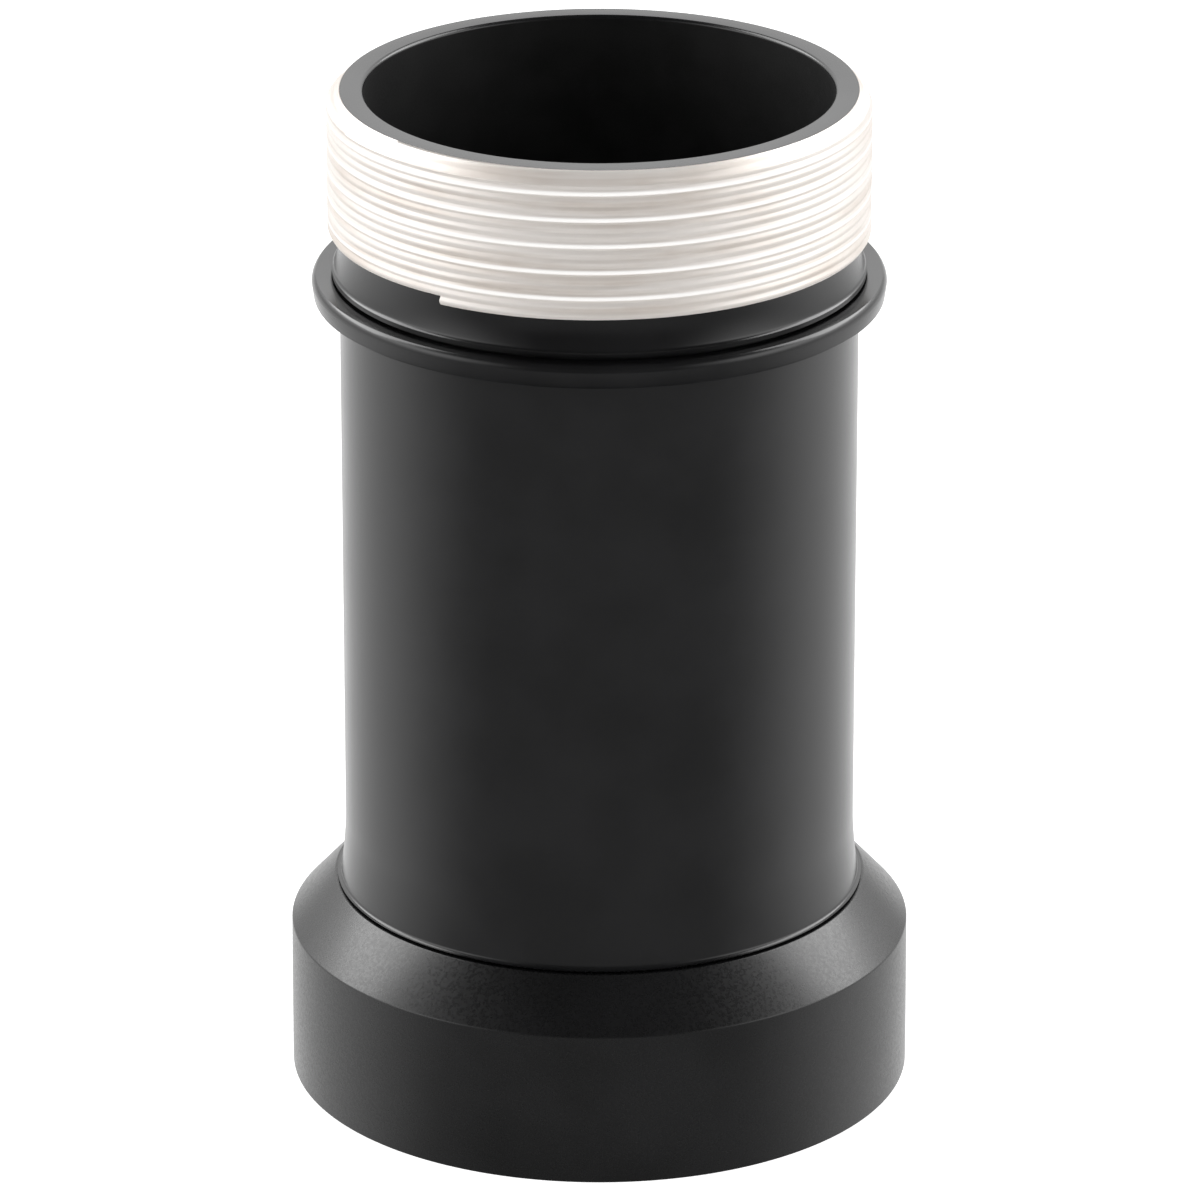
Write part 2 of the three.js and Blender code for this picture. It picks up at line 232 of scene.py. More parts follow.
def finished_object(name, work, materials, sharp_degrees=30):
    """Turns a bmesh into an object with smooth faces and crisp edges."""
    bmesh.ops.recalc_face_normals(work, faces=work.faces)
    limit = math.radians(sharp_degrees)
    for face in work.faces:
        face.smooth = True
    for edge in work.edges:
        edge.smooth = edge.calc_face_angle(0.0) < limit
    mesh = bpy.data.meshes.new(name)
    work.to_mesh(mesh)
    work.free()
    piece = bpy.data.objects.new(name, mesh)
    bpy.context.scene.collection.objects.link(piece)
    for material in materials:
        mesh.materials.append(material)
    return piece


def turned_mesh(outline, steps):
    """A closed outline of (radius, height) turned about Z. A point on the axis becomes a single vertex."""
    work = bmesh.new()
    rings = []
    for point in outline:
        if point.x < 1e-6:
            rings.append([work.verts.new((0, 0, point.y * MM))] * steps)
            continue
        ring = []
        for step in range(steps):
            angle = 2 * math.pi * step / steps
            spot = (point.x * math.cos(angle) * MM, point.x * math.sin(angle) * MM, point.y * MM)
            ring.append(work.verts.new(spot))
        rings.append(ring)
    for lower, upper in zip(rings, rings[1:] + rings[:1]):
        for step in range(steps):
            beside = (step + 1) % steps
            corners = []
            for vertex in (lower[step], lower[beside], upper[beside], upper[step]):
                if vertex not in corners:
                    corners.append(vertex)
            if len(corners) > 2:
                work.faces.new(corners)
    return work


def turned(name, outline, materials, steps=192, sharp_degrees=30):
    """A piece turned about Z from an outline that may have rounded corners."""
    return finished_object(name, turned_mesh(with_rounds(outline), steps), materials, sharp_degrees)


def box_cutter(centre, size):
    """A box to cut with, sizes in millimetres."""
    work = bmesh.new()
    bmesh.ops.create_cube(work, size=1, matrix=Matrix.Translation(Vector(centre) * MM)
                          @ Matrix.Diagonal((*(Vector(size) * MM), 1)))
    return finished_object("cutter", work, [])


def pin_cutter(radius, length, sides, placement):
    """A prism to cut with, its axis along Z before it is placed."""
    work = bmesh.new()
    bmesh.ops.create_cone(work, cap_ends=True, segments=sides, radius1=radius * MM, radius2=radius * MM,
                          depth=length * MM, matrix=placement)
    return finished_object("cutter", work, [])


def cut(piece, cutters):
    """Takes the cutters away from the piece, and keeps its edges crisp."""
    for cutter in cutters:
        modifier = piece.modifiers.new("cut", "BOOLEAN")
        modifier.object = cutter
        modifier.solver = "EXACT"
    graph = bpy.context.evaluated_depsgraph_get()
    mesh = bpy.data.meshes.new_from_object(piece.evaluated_get(graph))
    work = bmesh.new()
    work.from_mesh(mesh)
    bpy.data.meshes.remove(mesh)
    bmesh.ops.remove_doubles(work, verts=work.verts, dist=1e-7)
    bmesh.ops.recalc_face_normals(work, faces=work.faces)
    for edge in work.edges:
        edge.smooth = edge.calc_face_angle(0.0) < math.radians(30)
    for face in work.faces:
        face.smooth = True
    piece.modifiers.clear()
    work.to_mesh(piece.data)
    work.free()
    for cutter in cutters:
        bpy.data.objects.remove(cutter)
    return piece


def opposite_slots(inner, outer, width, bottom, top):
    """Cutters for two opposite radial slots, for a pin spanner."""
    middle = (inner + outer) / 2
    size = (outer - inner + 1.0, width, top - bottom)
    return [box_cutter((side * middle, 0, (bottom + top) / 2), size) for side in (-1, 1)]


# ---------------------------------------------------------------- material nodes


def add_node(tree, kind, inputs=None, **settings):
    """A new node. Inputs are given by name, as a value or as the socket that feeds them."""
    made = tree.nodes.new(kind)
    for key, value in settings.items():
        setattr(made, key, value)
    for key, value in (inputs or {}).items():
        if isinstance(value, bpy.types.NodeSocket):
            tree.links.new(value, made.inputs[key])
        else:
            made.inputs[key].default_value = value
    return made


def math_node(tree, operation, *values):
    """The result of arithmetic on numbers or sockets."""
    return add_node(tree, "ShaderNodeMath", dict(enumerate(values)), operation=operation).outputs[0]


def grey_ramp(tree, factor, low, high, start=0.0, end=1.0):
    """Maps a factor smoothly between two numbers."""
    mapped = add_node(tree, "ShaderNodeMapRange",
                      {"Value": factor, "From Min": start, "From Max": end, "To Min": low, "To Max": high},
                      interpolation_type="SMOOTHSTEP")
    return mapped.outputs["Result"]


def colour_mix(tree, factor, low, high):
    """Blends two colours, or sockets that give colours."""
    mixed = add_node(tree, "ShaderNodeMix", data_type="RGBA")
    for socket, value in ((mixed.inputs[0], factor), (mixed.inputs[6], low), (mixed.inputs[7], high)):
        if isinstance(value, bpy.types.NodeSocket):
            tree.links.new(value, socket)
        else:
            socket.default_value = (*value, 1.0) if isinstance(value, tuple) else value
    return mixed.outputs[2]


def noise_ramp(tree, factor, low=0.0, high=1.0):
    """Spreads the middle of a noise, where nearly all of its values lie, over a range."""
    return grey_ramp(tree, factor, low, high, 0.3, 0.7)


def noise(tree, place, grain, detail=2.0, roughness=0.5):
    """Noise whose features are about this many millimetres, along X, Y and Z or all the same."""
    sizes = grain if isinstance(grain, tuple) else (grain,) * 3
    scale = [1 / (MM * size) for size in sizes]
    scaled = add_node(tree, "ShaderNodeMapping", {"Vector": place, "Scale": scale}).outputs["Vector"]
    inputs = {"Vector": scaled, "Scale": 1.0, "Detail": detail, "Roughness": roughness}
    return add_node(tree, "ShaderNodeTexNoise", inputs).outputs["Fac"]


def bump(tree, shader, layers):
    """Chains bumps, each a (height, strength, millimetres) layer."""
    normal = None
    for height, strength, distance in layers:
        inputs = {"Height": height, "Strength": strength, "Distance": distance * MM}
        if normal:
            inputs["Normal"] = normal
        normal = add_node(tree, "ShaderNodeBump", inputs).outputs["Normal"]
    tree.links.new(normal, shader.inputs["Normal"])


def new_material(name):
    """A material with its shader and the place on the object."""
    material = bpy.data.materials.new(name)
    material.use_nodes = True
    tree = material.node_tree
    place = add_node(tree, "ShaderNodeTexCoord").outputs["Object"]
    return material, tree, tree.nodes["Principled BSDF"], place


def axis_distance(tree, place):
    """Distance from the Z axis."""
    flat = add_node(tree, "ShaderNodeVectorMath", {0: place, 1: (1.0, 1.0, 0.0)}, operation="MULTIPLY")
    return add_node(tree, "ShaderNodeVectorMath", {0: flat.outputs[0]}, operation="LENGTH").outputs["Value"]


# ---------------------------------------------------------------- materials


def satin_black():
    """Smooth black anodising over turned aluminium."""
    material, tree, shader, place = new_material("satin_black_anodise")
    low, high = (0.0045, 0.0045, 0.0048), (0.0075, 0.0075, 0.0080)
    clouds = noise(tree, place, 7.0, detail=3.0)
    grain = noise(tree, place, 0.11, detail=2.0, roughness=0.5)
    turning = noise(tree, place, (9.0, 9.0, 0.11), detail=2.0)
    tree.links.new(colour_mix(tree, noise_ramp(tree, clouds), low, high), shader.inputs["Base Color"])
    tree.links.new(noise_ramp(tree, clouds, 0.19, 0.225), shader.inputs["Roughness"])
    bump(tree, shader, [(grain, 0.04, 0.0006), (turning, 0.08, 0.0006)])
    return material


def blasted_black():
    """Bead-blasted black anodising, with a fine sparkling grain."""
    material, tree, shader, place = new_material("blasted_black_anodise")
    clouds = noise(tree, place, 9.0, detail=3.0)
    grain = noise(tree, place, 0.30, detail=3.0, roughness=0.65)
    pits = noise(tree, place, 0.12, detail=1.0)
    low, high = (0.0035, 0.0035, 0.0037), (0.0065, 0.0065, 0.0070)
    tree.links.new(colour_mix(tree, noise_ramp(tree, clouds), low, high), shader.inputs["Base Color"])
    tree.links.new(noise_ramp(tree, grain, 0.24, 0.33), shader.inputs["Roughness"])
    bump(tree, shader, [(grain, 0.45, 0.007), (pits, 0.35, 0.004)])
    return material


def bare_aluminium():
    """Bright metal left by the threading tool, streaked round the thread, with painted highlight lines of
    lighter, less metallic colour on some of its crests.
    """
    material, tree, shader, place = new_material("bare_turned_aluminium")
    broad = noise(tree, place, (16.0, 16.0, 0.9), detail=2.0)
    fine = noise(tree, place, (10.0, 10.0, 0.16), detail=3.0, roughness=0.7)
    patches = noise(tree, place, 4.0, detail=2.0)
    uneven = grey_ramp(tree, patches, 0, 1, 0.35, 0.65)
    dull = colour_mix(tree, uneven, (0.70, 0.635, 0.58), (0.75, 0.695, 0.645))
    base = colour_mix(tree, grey_ramp(tree, broad, 0, 1, 0.35, 0.6), dull, (0.83, 0.785, 0.745))
    # Painted highlight: the crests of every few ridges get a lighter colour and lower metallic, which stand
    # in for bright lines of reflected light.
    height = add_node(tree, "ShaderNodeSeparateXYZ", {0: place}).outputs["Z"]
    line_spacing = PAINTED_HIGHLIGHT_EVERY * RIDGE_PITCH * MM
    phase = math_node(tree, "MULTIPLY_ADD", height, 2 * math.pi / line_spacing, PAINTED_HIGHLIGHT_PHASE)
    highlight_lines = grey_ramp(tree, math_node(tree, "SINE", phase), 0, 1, 0.2, 0.9)
    crest_start, crest_end = (THREAD_RADIUS - 0.10) * MM, (THREAD_RADIUS - 0.01) * MM
    crest = grey_ramp(tree, axis_distance(tree, place), 0, 1, crest_start, crest_end)
    painted_highlight = math_node(tree, "MULTIPLY", highlight_lines, crest)
    tree.links.new(colour_mix(tree, painted_highlight, base, (0.93, 0.91, 0.89)), shader.inputs["Base Color"])
    tree.links.new(grey_ramp(tree, painted_highlight, 0.45, 0.1), shader.inputs["Metallic"])
    shader.inputs["Anisotropic"].default_value = 0.4
    tangent = add_node(tree, "ShaderNodeTangent", direction_type="RADIAL", axis="Z")
    tree.links.new(tangent.outputs["Tangent"], shader.inputs["Tangent"])
    tree.links.new(noise_ramp(tree, fine, 0.34, 0.50), shader.inputs["Roughness"])
    bump(tree, shader, [(fine, 0.4, 0.008)])
    return material


def matt_black(name, low, high, roughness, grain_size):
    """Sooty inner paint or dull rubber: dark, rough and finely grained."""
    material, tree, shader, place = new_material(name)
    clouds = noise(tree, place, 3.0, detail=3.0)
    grain = noise(tree, place, grain_size, detail=3.0, roughness=0.7)
    tone = noise_ramp(tree, clouds)
    tree.links.new(colour_mix(tree, tone, (low,) * 3, (high,) * 3), shader.inputs["Base Color"])
    tree.links.new(noise_ramp(tree, grain, roughness - 0.06, roughness + 0.06), shader.inputs["Roughness"])
    shader.inputs["Specular IOR Level"].default_value = 0.3
    bump(tree, shader, [(grain, 0.6, 0.012)])
    return material


def turned_black():
    """Black anodised retaining rings and cell, with fine marks of the lathe."""
    material, tree, shader, place = new_material("turned_black_ring")
    turning = noise(tree, place, (12.0, 12.0, 0.09), detail=3.0)
    grain = noise(tree, place, 0.2, detail=2.0)
    distance = axis_distance(tree, place)
    rings = add_node(tree, "ShaderNodeTexNoise", {"W": distance, "Scale": 9000.0, "Detail": 2.0},
                     noise_dimensions="1D").outputs["Fac"]
    low, high = (0.005, 0.005, 0.005), (0.011, 0.011, 0.012)
    tree.links.new(colour_mix(tree, noise_ramp(tree, turning), low, high), shader.inputs["Base Color"])
    tree.links.new(noise_ramp(tree, grain, 0.36, 0.5), shader.inputs["Roughness"])
    bump(tree, shader, [(turning, 0.3, 0.004), (rings, 0.3, 0.003)])
    return material


def coated_glass(name, low, high, index, film):
    """Optical glass under a thin antireflection film, with the faintest haze of dust."""
    material, tree, shader, place = new_material(name)
    haze = noise(tree, place, 2.5, detail=3.0)
    tint = colour_mix(tree, noise_ramp(tree, haze), low, high)
    tree.links.new(tint, shader.inputs["Base Color"])
    tree.links.new(grey_ramp(tree, haze, 0.0, 0.025, 0.4, 0.75), shader.inputs["Roughness"])
    shader.inputs["Transmission Weight"].default_value = 1.0
    shader.inputs["IOR"].default_value = index
    shader.inputs["Thin Film Thickness"].default_value = film
    shader.inputs["Thin Film IOR"].default_value = 1.38
    return material


def screw_steel():
    """Plain steel of the grub screws."""
    material, tree, shader, place = new_material("screw_steel")
    grain = noise(tree, place, 0.25, detail=3.0)
    low, high = (0.22, 0.22, 0.23), (0.42, 0.42, 0.43)
    tree.links.new(colour_mix(tree, grain, low, high), shader.inputs["Base Color"])
    tree.links.new(noise_ramp(tree, grain, 0.25, 0.45), shader.inputs["Roughness"])
    shader.inputs["Metallic"].default_value = 1.0
    bump(tree, shader, [(grain, 0.3, 0.004)])
    return material


SATIN = satin_black()
BLASTED = blasted_black()
ALUMINIUM = bare_aluminium()
SOOT = matt_black("sooty_inner_black", 0.0020, 0.0045, 0.88, 0.14)
BORE_BLACK = matt_black("bore_black", 0.005, 0.008, 0.55, 0.14)
RUBBER = matt_black("seal_rubber", 0.006, 0.012, 0.70, 0.25)
EDGE_INK = matt_black("blackened_glass_edge", 0.0025, 0.0050, 0.80, 0.2)
TURNED = turned_black()
CROWN = coated_glass("coated_crown_glass", (0.97, 0.99, 0.98), (0.99, 1.0, 0.99), 1.52, 105.0)
FLINT = coated_glass("coated_flint_glass", (0.97, 0.99, 0.96), (0.99, 1.0, 0.985), 1.62, 100.0)
STEEL = screw_steel()

# ---------------------------------------------------------------- outer pieces


def blacken_bore(piece, lowest, widest):
    """Gives the second material to the faces that look into the bore."""
    for face in piece.data.polygons:
        centre = face.center
        inward = centre.x * face.normal.x + centre.y * face.normal.y < -0.9 * math.hypot(centre.x, centre.y)
        within = math.hypot(centre.x, centre.y) < (widest + 0.02) * MM
        if inward and within and centre.z > lowest * MM:
            face.material_index = 1


def main_barrel():
    """The tube: flared foot, rounded flange ring, and threads for the socket, the collar and the cell."""
    lip_middle = TUBE_FOOT + SEAT_GAP + TUBE_LIP_ROUND
    foot = arc(TUBE_LIP_RADIUS, lip_middle, TUBE_LIP_ROUND, 270, 186, 8)
    foot += flare(foot[-1], TUBE_RADIUS, TUBE_FLARE_HEIGHT, TUBE_FLARE_POWER, TUBE_FLARE_STEPS)
    edge_radius = FLANGE_RADIUS - FLANGE_ROUND
    edge_height = FLANGE_TOP - FLANGE_ROUND * math.sin(math.radians(FLANGE_ROUND_END))
    groove_top = FLANGE_TOP - SEAL_SEAT_DEPTH
    spigot_bottom = COLLAR_SPIGOT_BOTTOM - RUNNING_GAP
    outer_thread = male_thread(SPIGOT_RADIUS, BARREL_SPIGOT_BOTTOM + 0.3, TUBE_FOOT - 0.6)
    upper_thread = female_thread(JOINT_THREAD_RADIUS, spigot_bottom + 0.3, groove_top - 0.3)
    cell_thread = female_thread(CHAMBER_RADIUS, BARREL_SPIGOT_BOTTOM + 0.4, RIB_BOTTOM - 1.5)
    outline = [
        (CHAMBER_RADIUS + 0.1, BARREL_SPIGOT_BOTTOM),
        (SPIGOT_RADIUS - 0.15, BARREL_SPIGOT_BOTTOM, 0.1),
        *outer_thread,
        (SPIGOT_RADIUS - 0.3, TUBE_FOOT - 0.35),
        (SPIGOT_RADIUS, TUBE_FOOT - 0.2),
        (SPIGOT_RADIUS, TUBE_FOOT),
        (TUBE_LIP_RADIUS - 0.05, TUBE_FOOT),
        *foot,
        (TUBE_RADIUS, FLANGE_BOTTOM),
        (FLANGE_RADIUS - FLANGE_UNDERCUT, FLANGE_BOTTOM, 0.2),
        *arc(edge_radius, edge_height, FLANGE_ROUND, 0, FLANGE_ROUND_END, 8),
        (COLLAR_SEAL_SEAT, FLANGE_TOP - FLANGE_DISH, 0.1),
        (COLLAR_SEAL_SEAT, groove_top),
        (JOINT_THREAD_RADIUS, groove_top),
        *reversed(upper_thread),
        (JOINT_THREAD_RADIUS, spigot_bottom),
        (BARREL_BORE_RADIUS, spigot_bottom, 0.1),
        (BARREL_BORE_RADIUS, RIB_TOP),
        (RIB_RADIUS, RIB_TOP, 0.15),
        (RIB_RADIUS, RIB_BOTTOM, 0.15),
        (CHAMBER_RADIUS, RIB_BOTTOM),
        *reversed(cell_thread),
    ]
    piece = turned("barrel_shell", outline, [SATIN, BORE_BLACK], steps=256)
    blacken_bore(piece, RIB_TOP - 0.1, JOINT_THREAD_RADIUS + FINE_DEPTH)
    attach(piece, "barrel")
    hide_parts("main_barrel")


def collar_body():
    """The black body of the camera collar: spigot, neck with its lip, thread core and rim."""
    core_top = RIM_TOP - RIM_STEP
    core_radius = RIM_RADIUS - 0.01
    spigot_thread = male_thread(SPIGOT_RADIUS, COLLAR_SPIGOT_BOTTOM + 0.3, FLANGE_TOP - 1.2)
    tilt = math.radians(NECK_LIP_TILT)
    fillet_radius = NECK_LIP_RADIUS + NECK_FILLET * math.cos(tilt)
    fillet_height = NECK_BOTTOM + NECK_LIP_EDGE + NECK_FILLET * math.sin(tilt)
    neck = arc(fillet_radius, fillet_height, NECK_FILLET, 180 + NECK_LIP_TILT, 198, 8)
    neck_height = THREAD_BOTTOM + THREAD_RUNOUT - neck[-1][1]
    neck += flare(neck[-1], NECK_RADIUS, neck_height, NECK_FLARE_POWER, NECK_FLARE_STEPS)
    outline = [
        (BORE_RADIUS, COLLAR_SPIGOT_BOTTOM, 0.1),
        (SPIGOT_RADIUS - 0.1, COLLAR_SPIGOT_BOTTOM, 0.1),
        *spigot_thread,
        (SPIGOT_RADIUS - 0.05, FLANGE_TOP - 1.0),
        (SPIGOT_RADIUS - 0.05, NECK_BOTTOM),
        (NECK_LIP_RADIUS, NECK_BOTTOM),
        *neck,
        (NECK_RADIUS, core_top),
        (core_radius, core_top + 0.2),
        (core_radius, RIM_TOP),
        (BORE_RADIUS, RIM_TOP, 0.3),
    ]
    piece = turned("camera_collar_body", outline, [SATIN, BORE_BLACK], steps=256)
    blacken_bore(piece, COLLAR_SPIGOT_BOTTOM, BORE_RADIUS)
    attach(piece, "collar")
    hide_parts("camera_thread_collar")


def thread_profile():
    """Points of one thread ridge: (share of the pitch, share of the depth below the crest)."""
    rising = [(0.05, 1.0), (0.09, 0.94), (0.36, 0.08), (0.42, 0.0)]
    falling = [(1 - along, depth) for along, depth in reversed(rising)]
    return rising + falling


def camera_thread():
    """The bare helical thread: right-handed, with a blunt start at the front left and a lead chamfer."""
    start_angle = math.radians(THREAD_START)
    columns = 288
    inner_wall = NECK_RADIUS + 0.02
    rim_wall = RIM_RADIUS
    top = RIM_TOP - 0.01
    wall_step = RIM_TOP - RIM_STEP + 0.3
    profile = thread_profile()
    turns = math.ceil((top - THREAD_BOTTOM) / RIDGE_PITCH) + 1
    work = bmesh.new()

    def spot(radius, height, angle):
        return work.verts.new((radius * math.cos(angle) * MM, radius * math.sin(angle) * MM, height * MM))

    grid = []
    for column in range(columns + 1):
        share = column / columns
        angle = start_angle + 2 * math.pi * share
        loop = [spot(inner_wall, THREAD_BOTTOM + RIDGE_PITCH * (share + profile[0][0]), angle)]
        for turn in range(turns):
            for along, depth in profile:
                height = min(THREAD_BOTTOM + RIDGE_PITCH * (turn + along + share), top)
                chamfer = rim_wall + 0.01 + (RIM_TOP - height) * (1 - 0.12 * depth)
                loop.append(spot(min(THREAD_RADIUS - RIDGE_DEPTH * depth, chamfer), height, angle))
        loop.append(spot(rim_wall, top, angle))
        loop.append(spot(rim_wall, wall_step + 0.15, angle))
        loop.append(spot(inner_wall, wall_step, angle))
        grid.append(loop)
    rows = len(grid[0])
    for column in range(columns):
        left, right = grid[column], grid[column + 1]
        for row in range(rows - 1):
            work.faces.new((left[row], right[row], right[row + 1], left[row + 1]))
        wall = [left[-1], right[-1], right[0], left[0]]
        if column == 0:
            wall.append(grid[-1][0])
        work.faces.new(wall)
    work.faces.new([grid[0][row] for row in range(len(profile) + 2)] + [grid[-1][0]])
    bmesh.ops.remove_doubles(work, verts=work.verts, dist=2e-7)
    bmesh.ops.dissolve_degenerate(work, edges=work.edges, dist=1e-8)
    piece = finished_object("camera_thread", work, [ALUMINIUM], sharp_degrees=50)
    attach(piece, "collar")
    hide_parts("camera_thread_collar")


def telescope_socket():
    """The base: straight wall and cone outside, T-thread and its relief below, joint thread above."""
    seat = BARREL_SPIGOT_BOTTOM - SEAT_GAP
    thread_major = SOCKET_THREAD_MINOR + T_DEPTH
    inner_thread = ridges(SOCKET_THREAD_MINOR, thread_major, 0.5, SOCKET_THREAD_DEPTH, T_PITCH)
    upper_thread = female_thread(JOINT_THREAD_RADIUS, seat + 0.2, SHOULDER_HIGH - 1.4)
    outline = [
        (SOCKET_THREAD_MINOR + 0.5, 0.0),
        (SOCKET_RADIUS, 0.0, 0.12),
        (SOCKET_RADIUS - 0.01, SHOULDER_LOW / 2),
        (SOCKET_RADIUS - 0.04, SHOULDER_LOW, 0.25),
        (SHOULDER_TOP_RADIUS, SHOULDER_HIGH, 0.12),
        (SOCKET_SEAL_SEAT, SHOULDER_HIGH),
        (SOCKET_SEAL_SEAT, SHOULDER_HIGH - SEAL_SEAT_DEPTH),
        (JOINT_THREAD_RADIUS, SHOULDER_HIGH - SEAL_SEAT_DEPTH),
        *reversed(upper_thread),
        (JOINT_THREAD_RADIUS, seat),
        (SOCKET_SEAT_RADIUS, seat, 0.1),
        (SOCKET_SEAT_RADIUS, SOCKET_DEPTH, 0.2),
        (SOCKET_RELIEF_RADIUS, SOCKET_DEPTH, 0.1),
        (SOCKET_RELIEF_RADIUS, SOCKET_THREAD_DEPTH),
        (SOCKET_THREAD_MINOR, SOCKET_THREAD_DEPTH),
        *reversed(inner_thread),
    ]
    piece = turned("socket_shell", outline, [BLASTED], steps=256)
    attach(piece, "socket")
    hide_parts("telescope_socket")


def round_ring(name, node_name, body, material):
    """A ring of round section that fills the CAD ring's box."""
    low, high = low_mm(node_name), high_mm(node_name)
    section = (high - low) / 2
    outer = radius_mm(node_name)
    outline = [Vector(point) for point in arc(outer - section, low + section, section, -90, 270, 24)[:-1]]
    piece = finished_object(name, turned_mesh(outline, 192), [material])
    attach(piece, body)
    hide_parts(node_name)


# ---------------------------------------------------------------- lens cell and glass


def screw_angle(index):
    """Angle round the axis of a grub screw. The first one is at the back."""
    return math.pi / 2 + index * 2 * math.pi / SCREW_COUNT


def radial_placement(angle, distance):
    """Turns +Z to point outward at an angle round the axis, at a distance from it and the screws' height."""
    place = Vector((distance * math.cos(angle), distance * math.sin(angle), SCREW_HEIGHT)) * MM
    return Matrix.Translation(place) @ Matrix.Rotation(angle, 4, "Z") @ Matrix.Rotation(math.pi / 2, 4, "Y")


def lens_cell():
    """The threaded cell of the doublet, with spanner slots below and holes for its grub screws."""
    bevel = 0.6
    outline = [
        (CELL_BORE_RADIUS, CELL_BOTTOM, 0.15),
        (CELL_RADIUS - 0.15, CELL_BOTTOM, 0.12),
        *male_thread(CELL_RADIUS, CELL_BOTTOM + 1.4, CELL_TOP - 1.0),
        (CELL_RADIUS - 0.1, CELL_TOP - 0.6),
        (CELL_RADIUS - 0.1, CELL_TOP, 0.2),
        (CELL_LIP_RADIUS + bevel, CELL_TOP),
        (CELL_LIP_RADIUS, CELL_TOP - bevel),
        (CELL_LIP_RADIUS, CELL_TOP - CELL_LIP),
        (CELL_BORE_RADIUS, CELL_TOP - CELL_LIP),
    ]
    piece = turned("lens_cell_body", outline, [TURNED])
    cutters = opposite_slots(CELL_BORE_RADIUS, CELL_RADIUS, 2.0, CELL_BOTTOM - 1.0, CELL_BOTTOM + 1.2)
    middle = (CELL_BORE_RADIUS + CELL_RADIUS) / 2
    for index in range(SCREW_COUNT):
        placement = radial_placement(screw_angle(index), middle)
        cutters.append(pin_cutter(SCREW_RADIUS + 0.08, 4.0, 48, placement))
    cut(piece, cutters)
    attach(piece, "cell")
    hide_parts("lens_cell")


def grub_screw(index):
    """A grub screw with a cup at its inner end and a hexagon socket at its outer end."""
    inner_end = CELL_BORE_RADIUS + 0.15
    outer_end = CELL_RADIUS - 0.3
    length = outer_end - inner_end
    outline = [
        (0.0, -length / 2 + 0.25),
        (SCREW_RADIUS - 0.45, -length / 2),
        (SCREW_RADIUS - 0.25, -length / 2),
        *ridges(SCREW_RADIUS, SCREW_RADIUS - 0.15, -length / 2 + 0.2, length / 2 - 0.1, 0.4),
        (SCREW_RADIUS - 0.2, length / 2),
        (0.0, length / 2),
    ]
    piece = turned(f"grub_screw_{index + 1}", outline, [STEEL], steps=48)
    cut(piece, [pin_cutter(0.5, 1.6, 6, Matrix.Translation((0, 0, length / 2 * MM)))])
    piece.data.transform(radial_placement(screw_angle(index), (inner_end + outer_end) / 2))
    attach(piece, "cell")
    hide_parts(f"lens_centring_screw_{index + 1}")


def surface(curve, seat_height, rise, outward):
    """Outline points of a ground surface between the axis and the clear radius."""
    steps = 24
    points = []
    for step in range(steps + 1):
        distance = CLEAR_RADIUS * (step if outward else steps - step) / steps
        depth = sag(curve, CLEAR_RADIUS) - sag(curve, distance)
        points.append((distance, seat_height + rise * depth))
    return points


def lens(name, node_name, material, lower, upper):
    """A lens from its two surfaces, each a (curve, rise) pair whose flat seat is the CAD node's edge."""
    # A raised centre lies outside the edge's faces, and a hollow one inside them.
    bottom_seat = low_mm(node_name) + (sag(lower[0], CLEAR_RADIUS) if lower[1] < 0 else 0)
    top_seat = high_mm(node_name)
    ease = 0.15
    outline = [
        *surface(lower[0], bottom_seat, lower[1], True),
        (LENS_RADIUS - ease, bottom_seat),
        (LENS_RADIUS, bottom_seat + ease),
        (LENS_RADIUS, top_seat - ease),
        (LENS_RADIUS - ease, top_seat),
        *surface(upper[0], top_seat, upper[1], False),
    ]
    piece = turned(name, outline, [material, EDGE_INK], steps=192, sharp_degrees=15)
    for face in piece.data.polygons:
        centre = face.center
        face.material_index = int(math.hypot(centre.x, centre.y) > CLEAR_RADIUS * MM)
    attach(piece, "glass_stack")
    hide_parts(node_name)


def plain_ring(name, node_name, inner, body, material, ease, cutters=()):
    """A ring of rectangular section between the CAD node's heights, with eased edges."""
    low, high, outer = low_mm(node_name), high_mm(node_name), radius_mm(node_name)
    outline = [(inner, low, ease), (outer, low, ease), (outer, high, ease), (inner, high, ease)]
    piece = turned(name, outline, [material])
    if cutters:
        cut(piece, cutters)
    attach(piece, body)
    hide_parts(node_name)


def retaining_rings():
    """The slotted rings that hold the glass in its cell and the baffles in the barrel."""
    node_name, inner = "lens_retaining_ring", LENS_RETAINER_BORE
    low = low_mm(node_name)
    slots = opposite_slots(inner, CELL_BORE_RADIUS, 1.6, low - 1.0, low + 0.9)
    plain_ring("glass_retainer", node_name, inner, "retaining_ring", TURNED, 0.12, slots)
    node_name, inner = "baffle_retaining_ring", BAFFLE_RETAINER_BORE
    high = high_mm(node_name)
    slots = opposite_slots(inner, BARREL_BORE_RADIUS, 2.0, high - 1.0, high + 1.0)
    plain_ring("baffle_retainer", node_name, inner, "barrel", TURNED, 0.15, slots)


# ---------------------------------------------------------------- baffles


def baffle(level, hole):
    """A ring whose aperture comes to a knife edge."""
    node_name = f"baffle_ring_{level}"
    low, high, outer = low_mm(node_name), high_mm(node_name), radius_mm(node_name)
    edge = 0.06
    ease = 0.08
    slope_end = hole + high - low
    outline = [(hole, low), (outer, low, ease), (outer, high, ease), (slope_end, high), (hole, low + edge)]
    piece = turned(f"knife_edge_baffle_{level}", outline, [SOOT])
    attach(piece, "barrel")
    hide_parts(node_name)


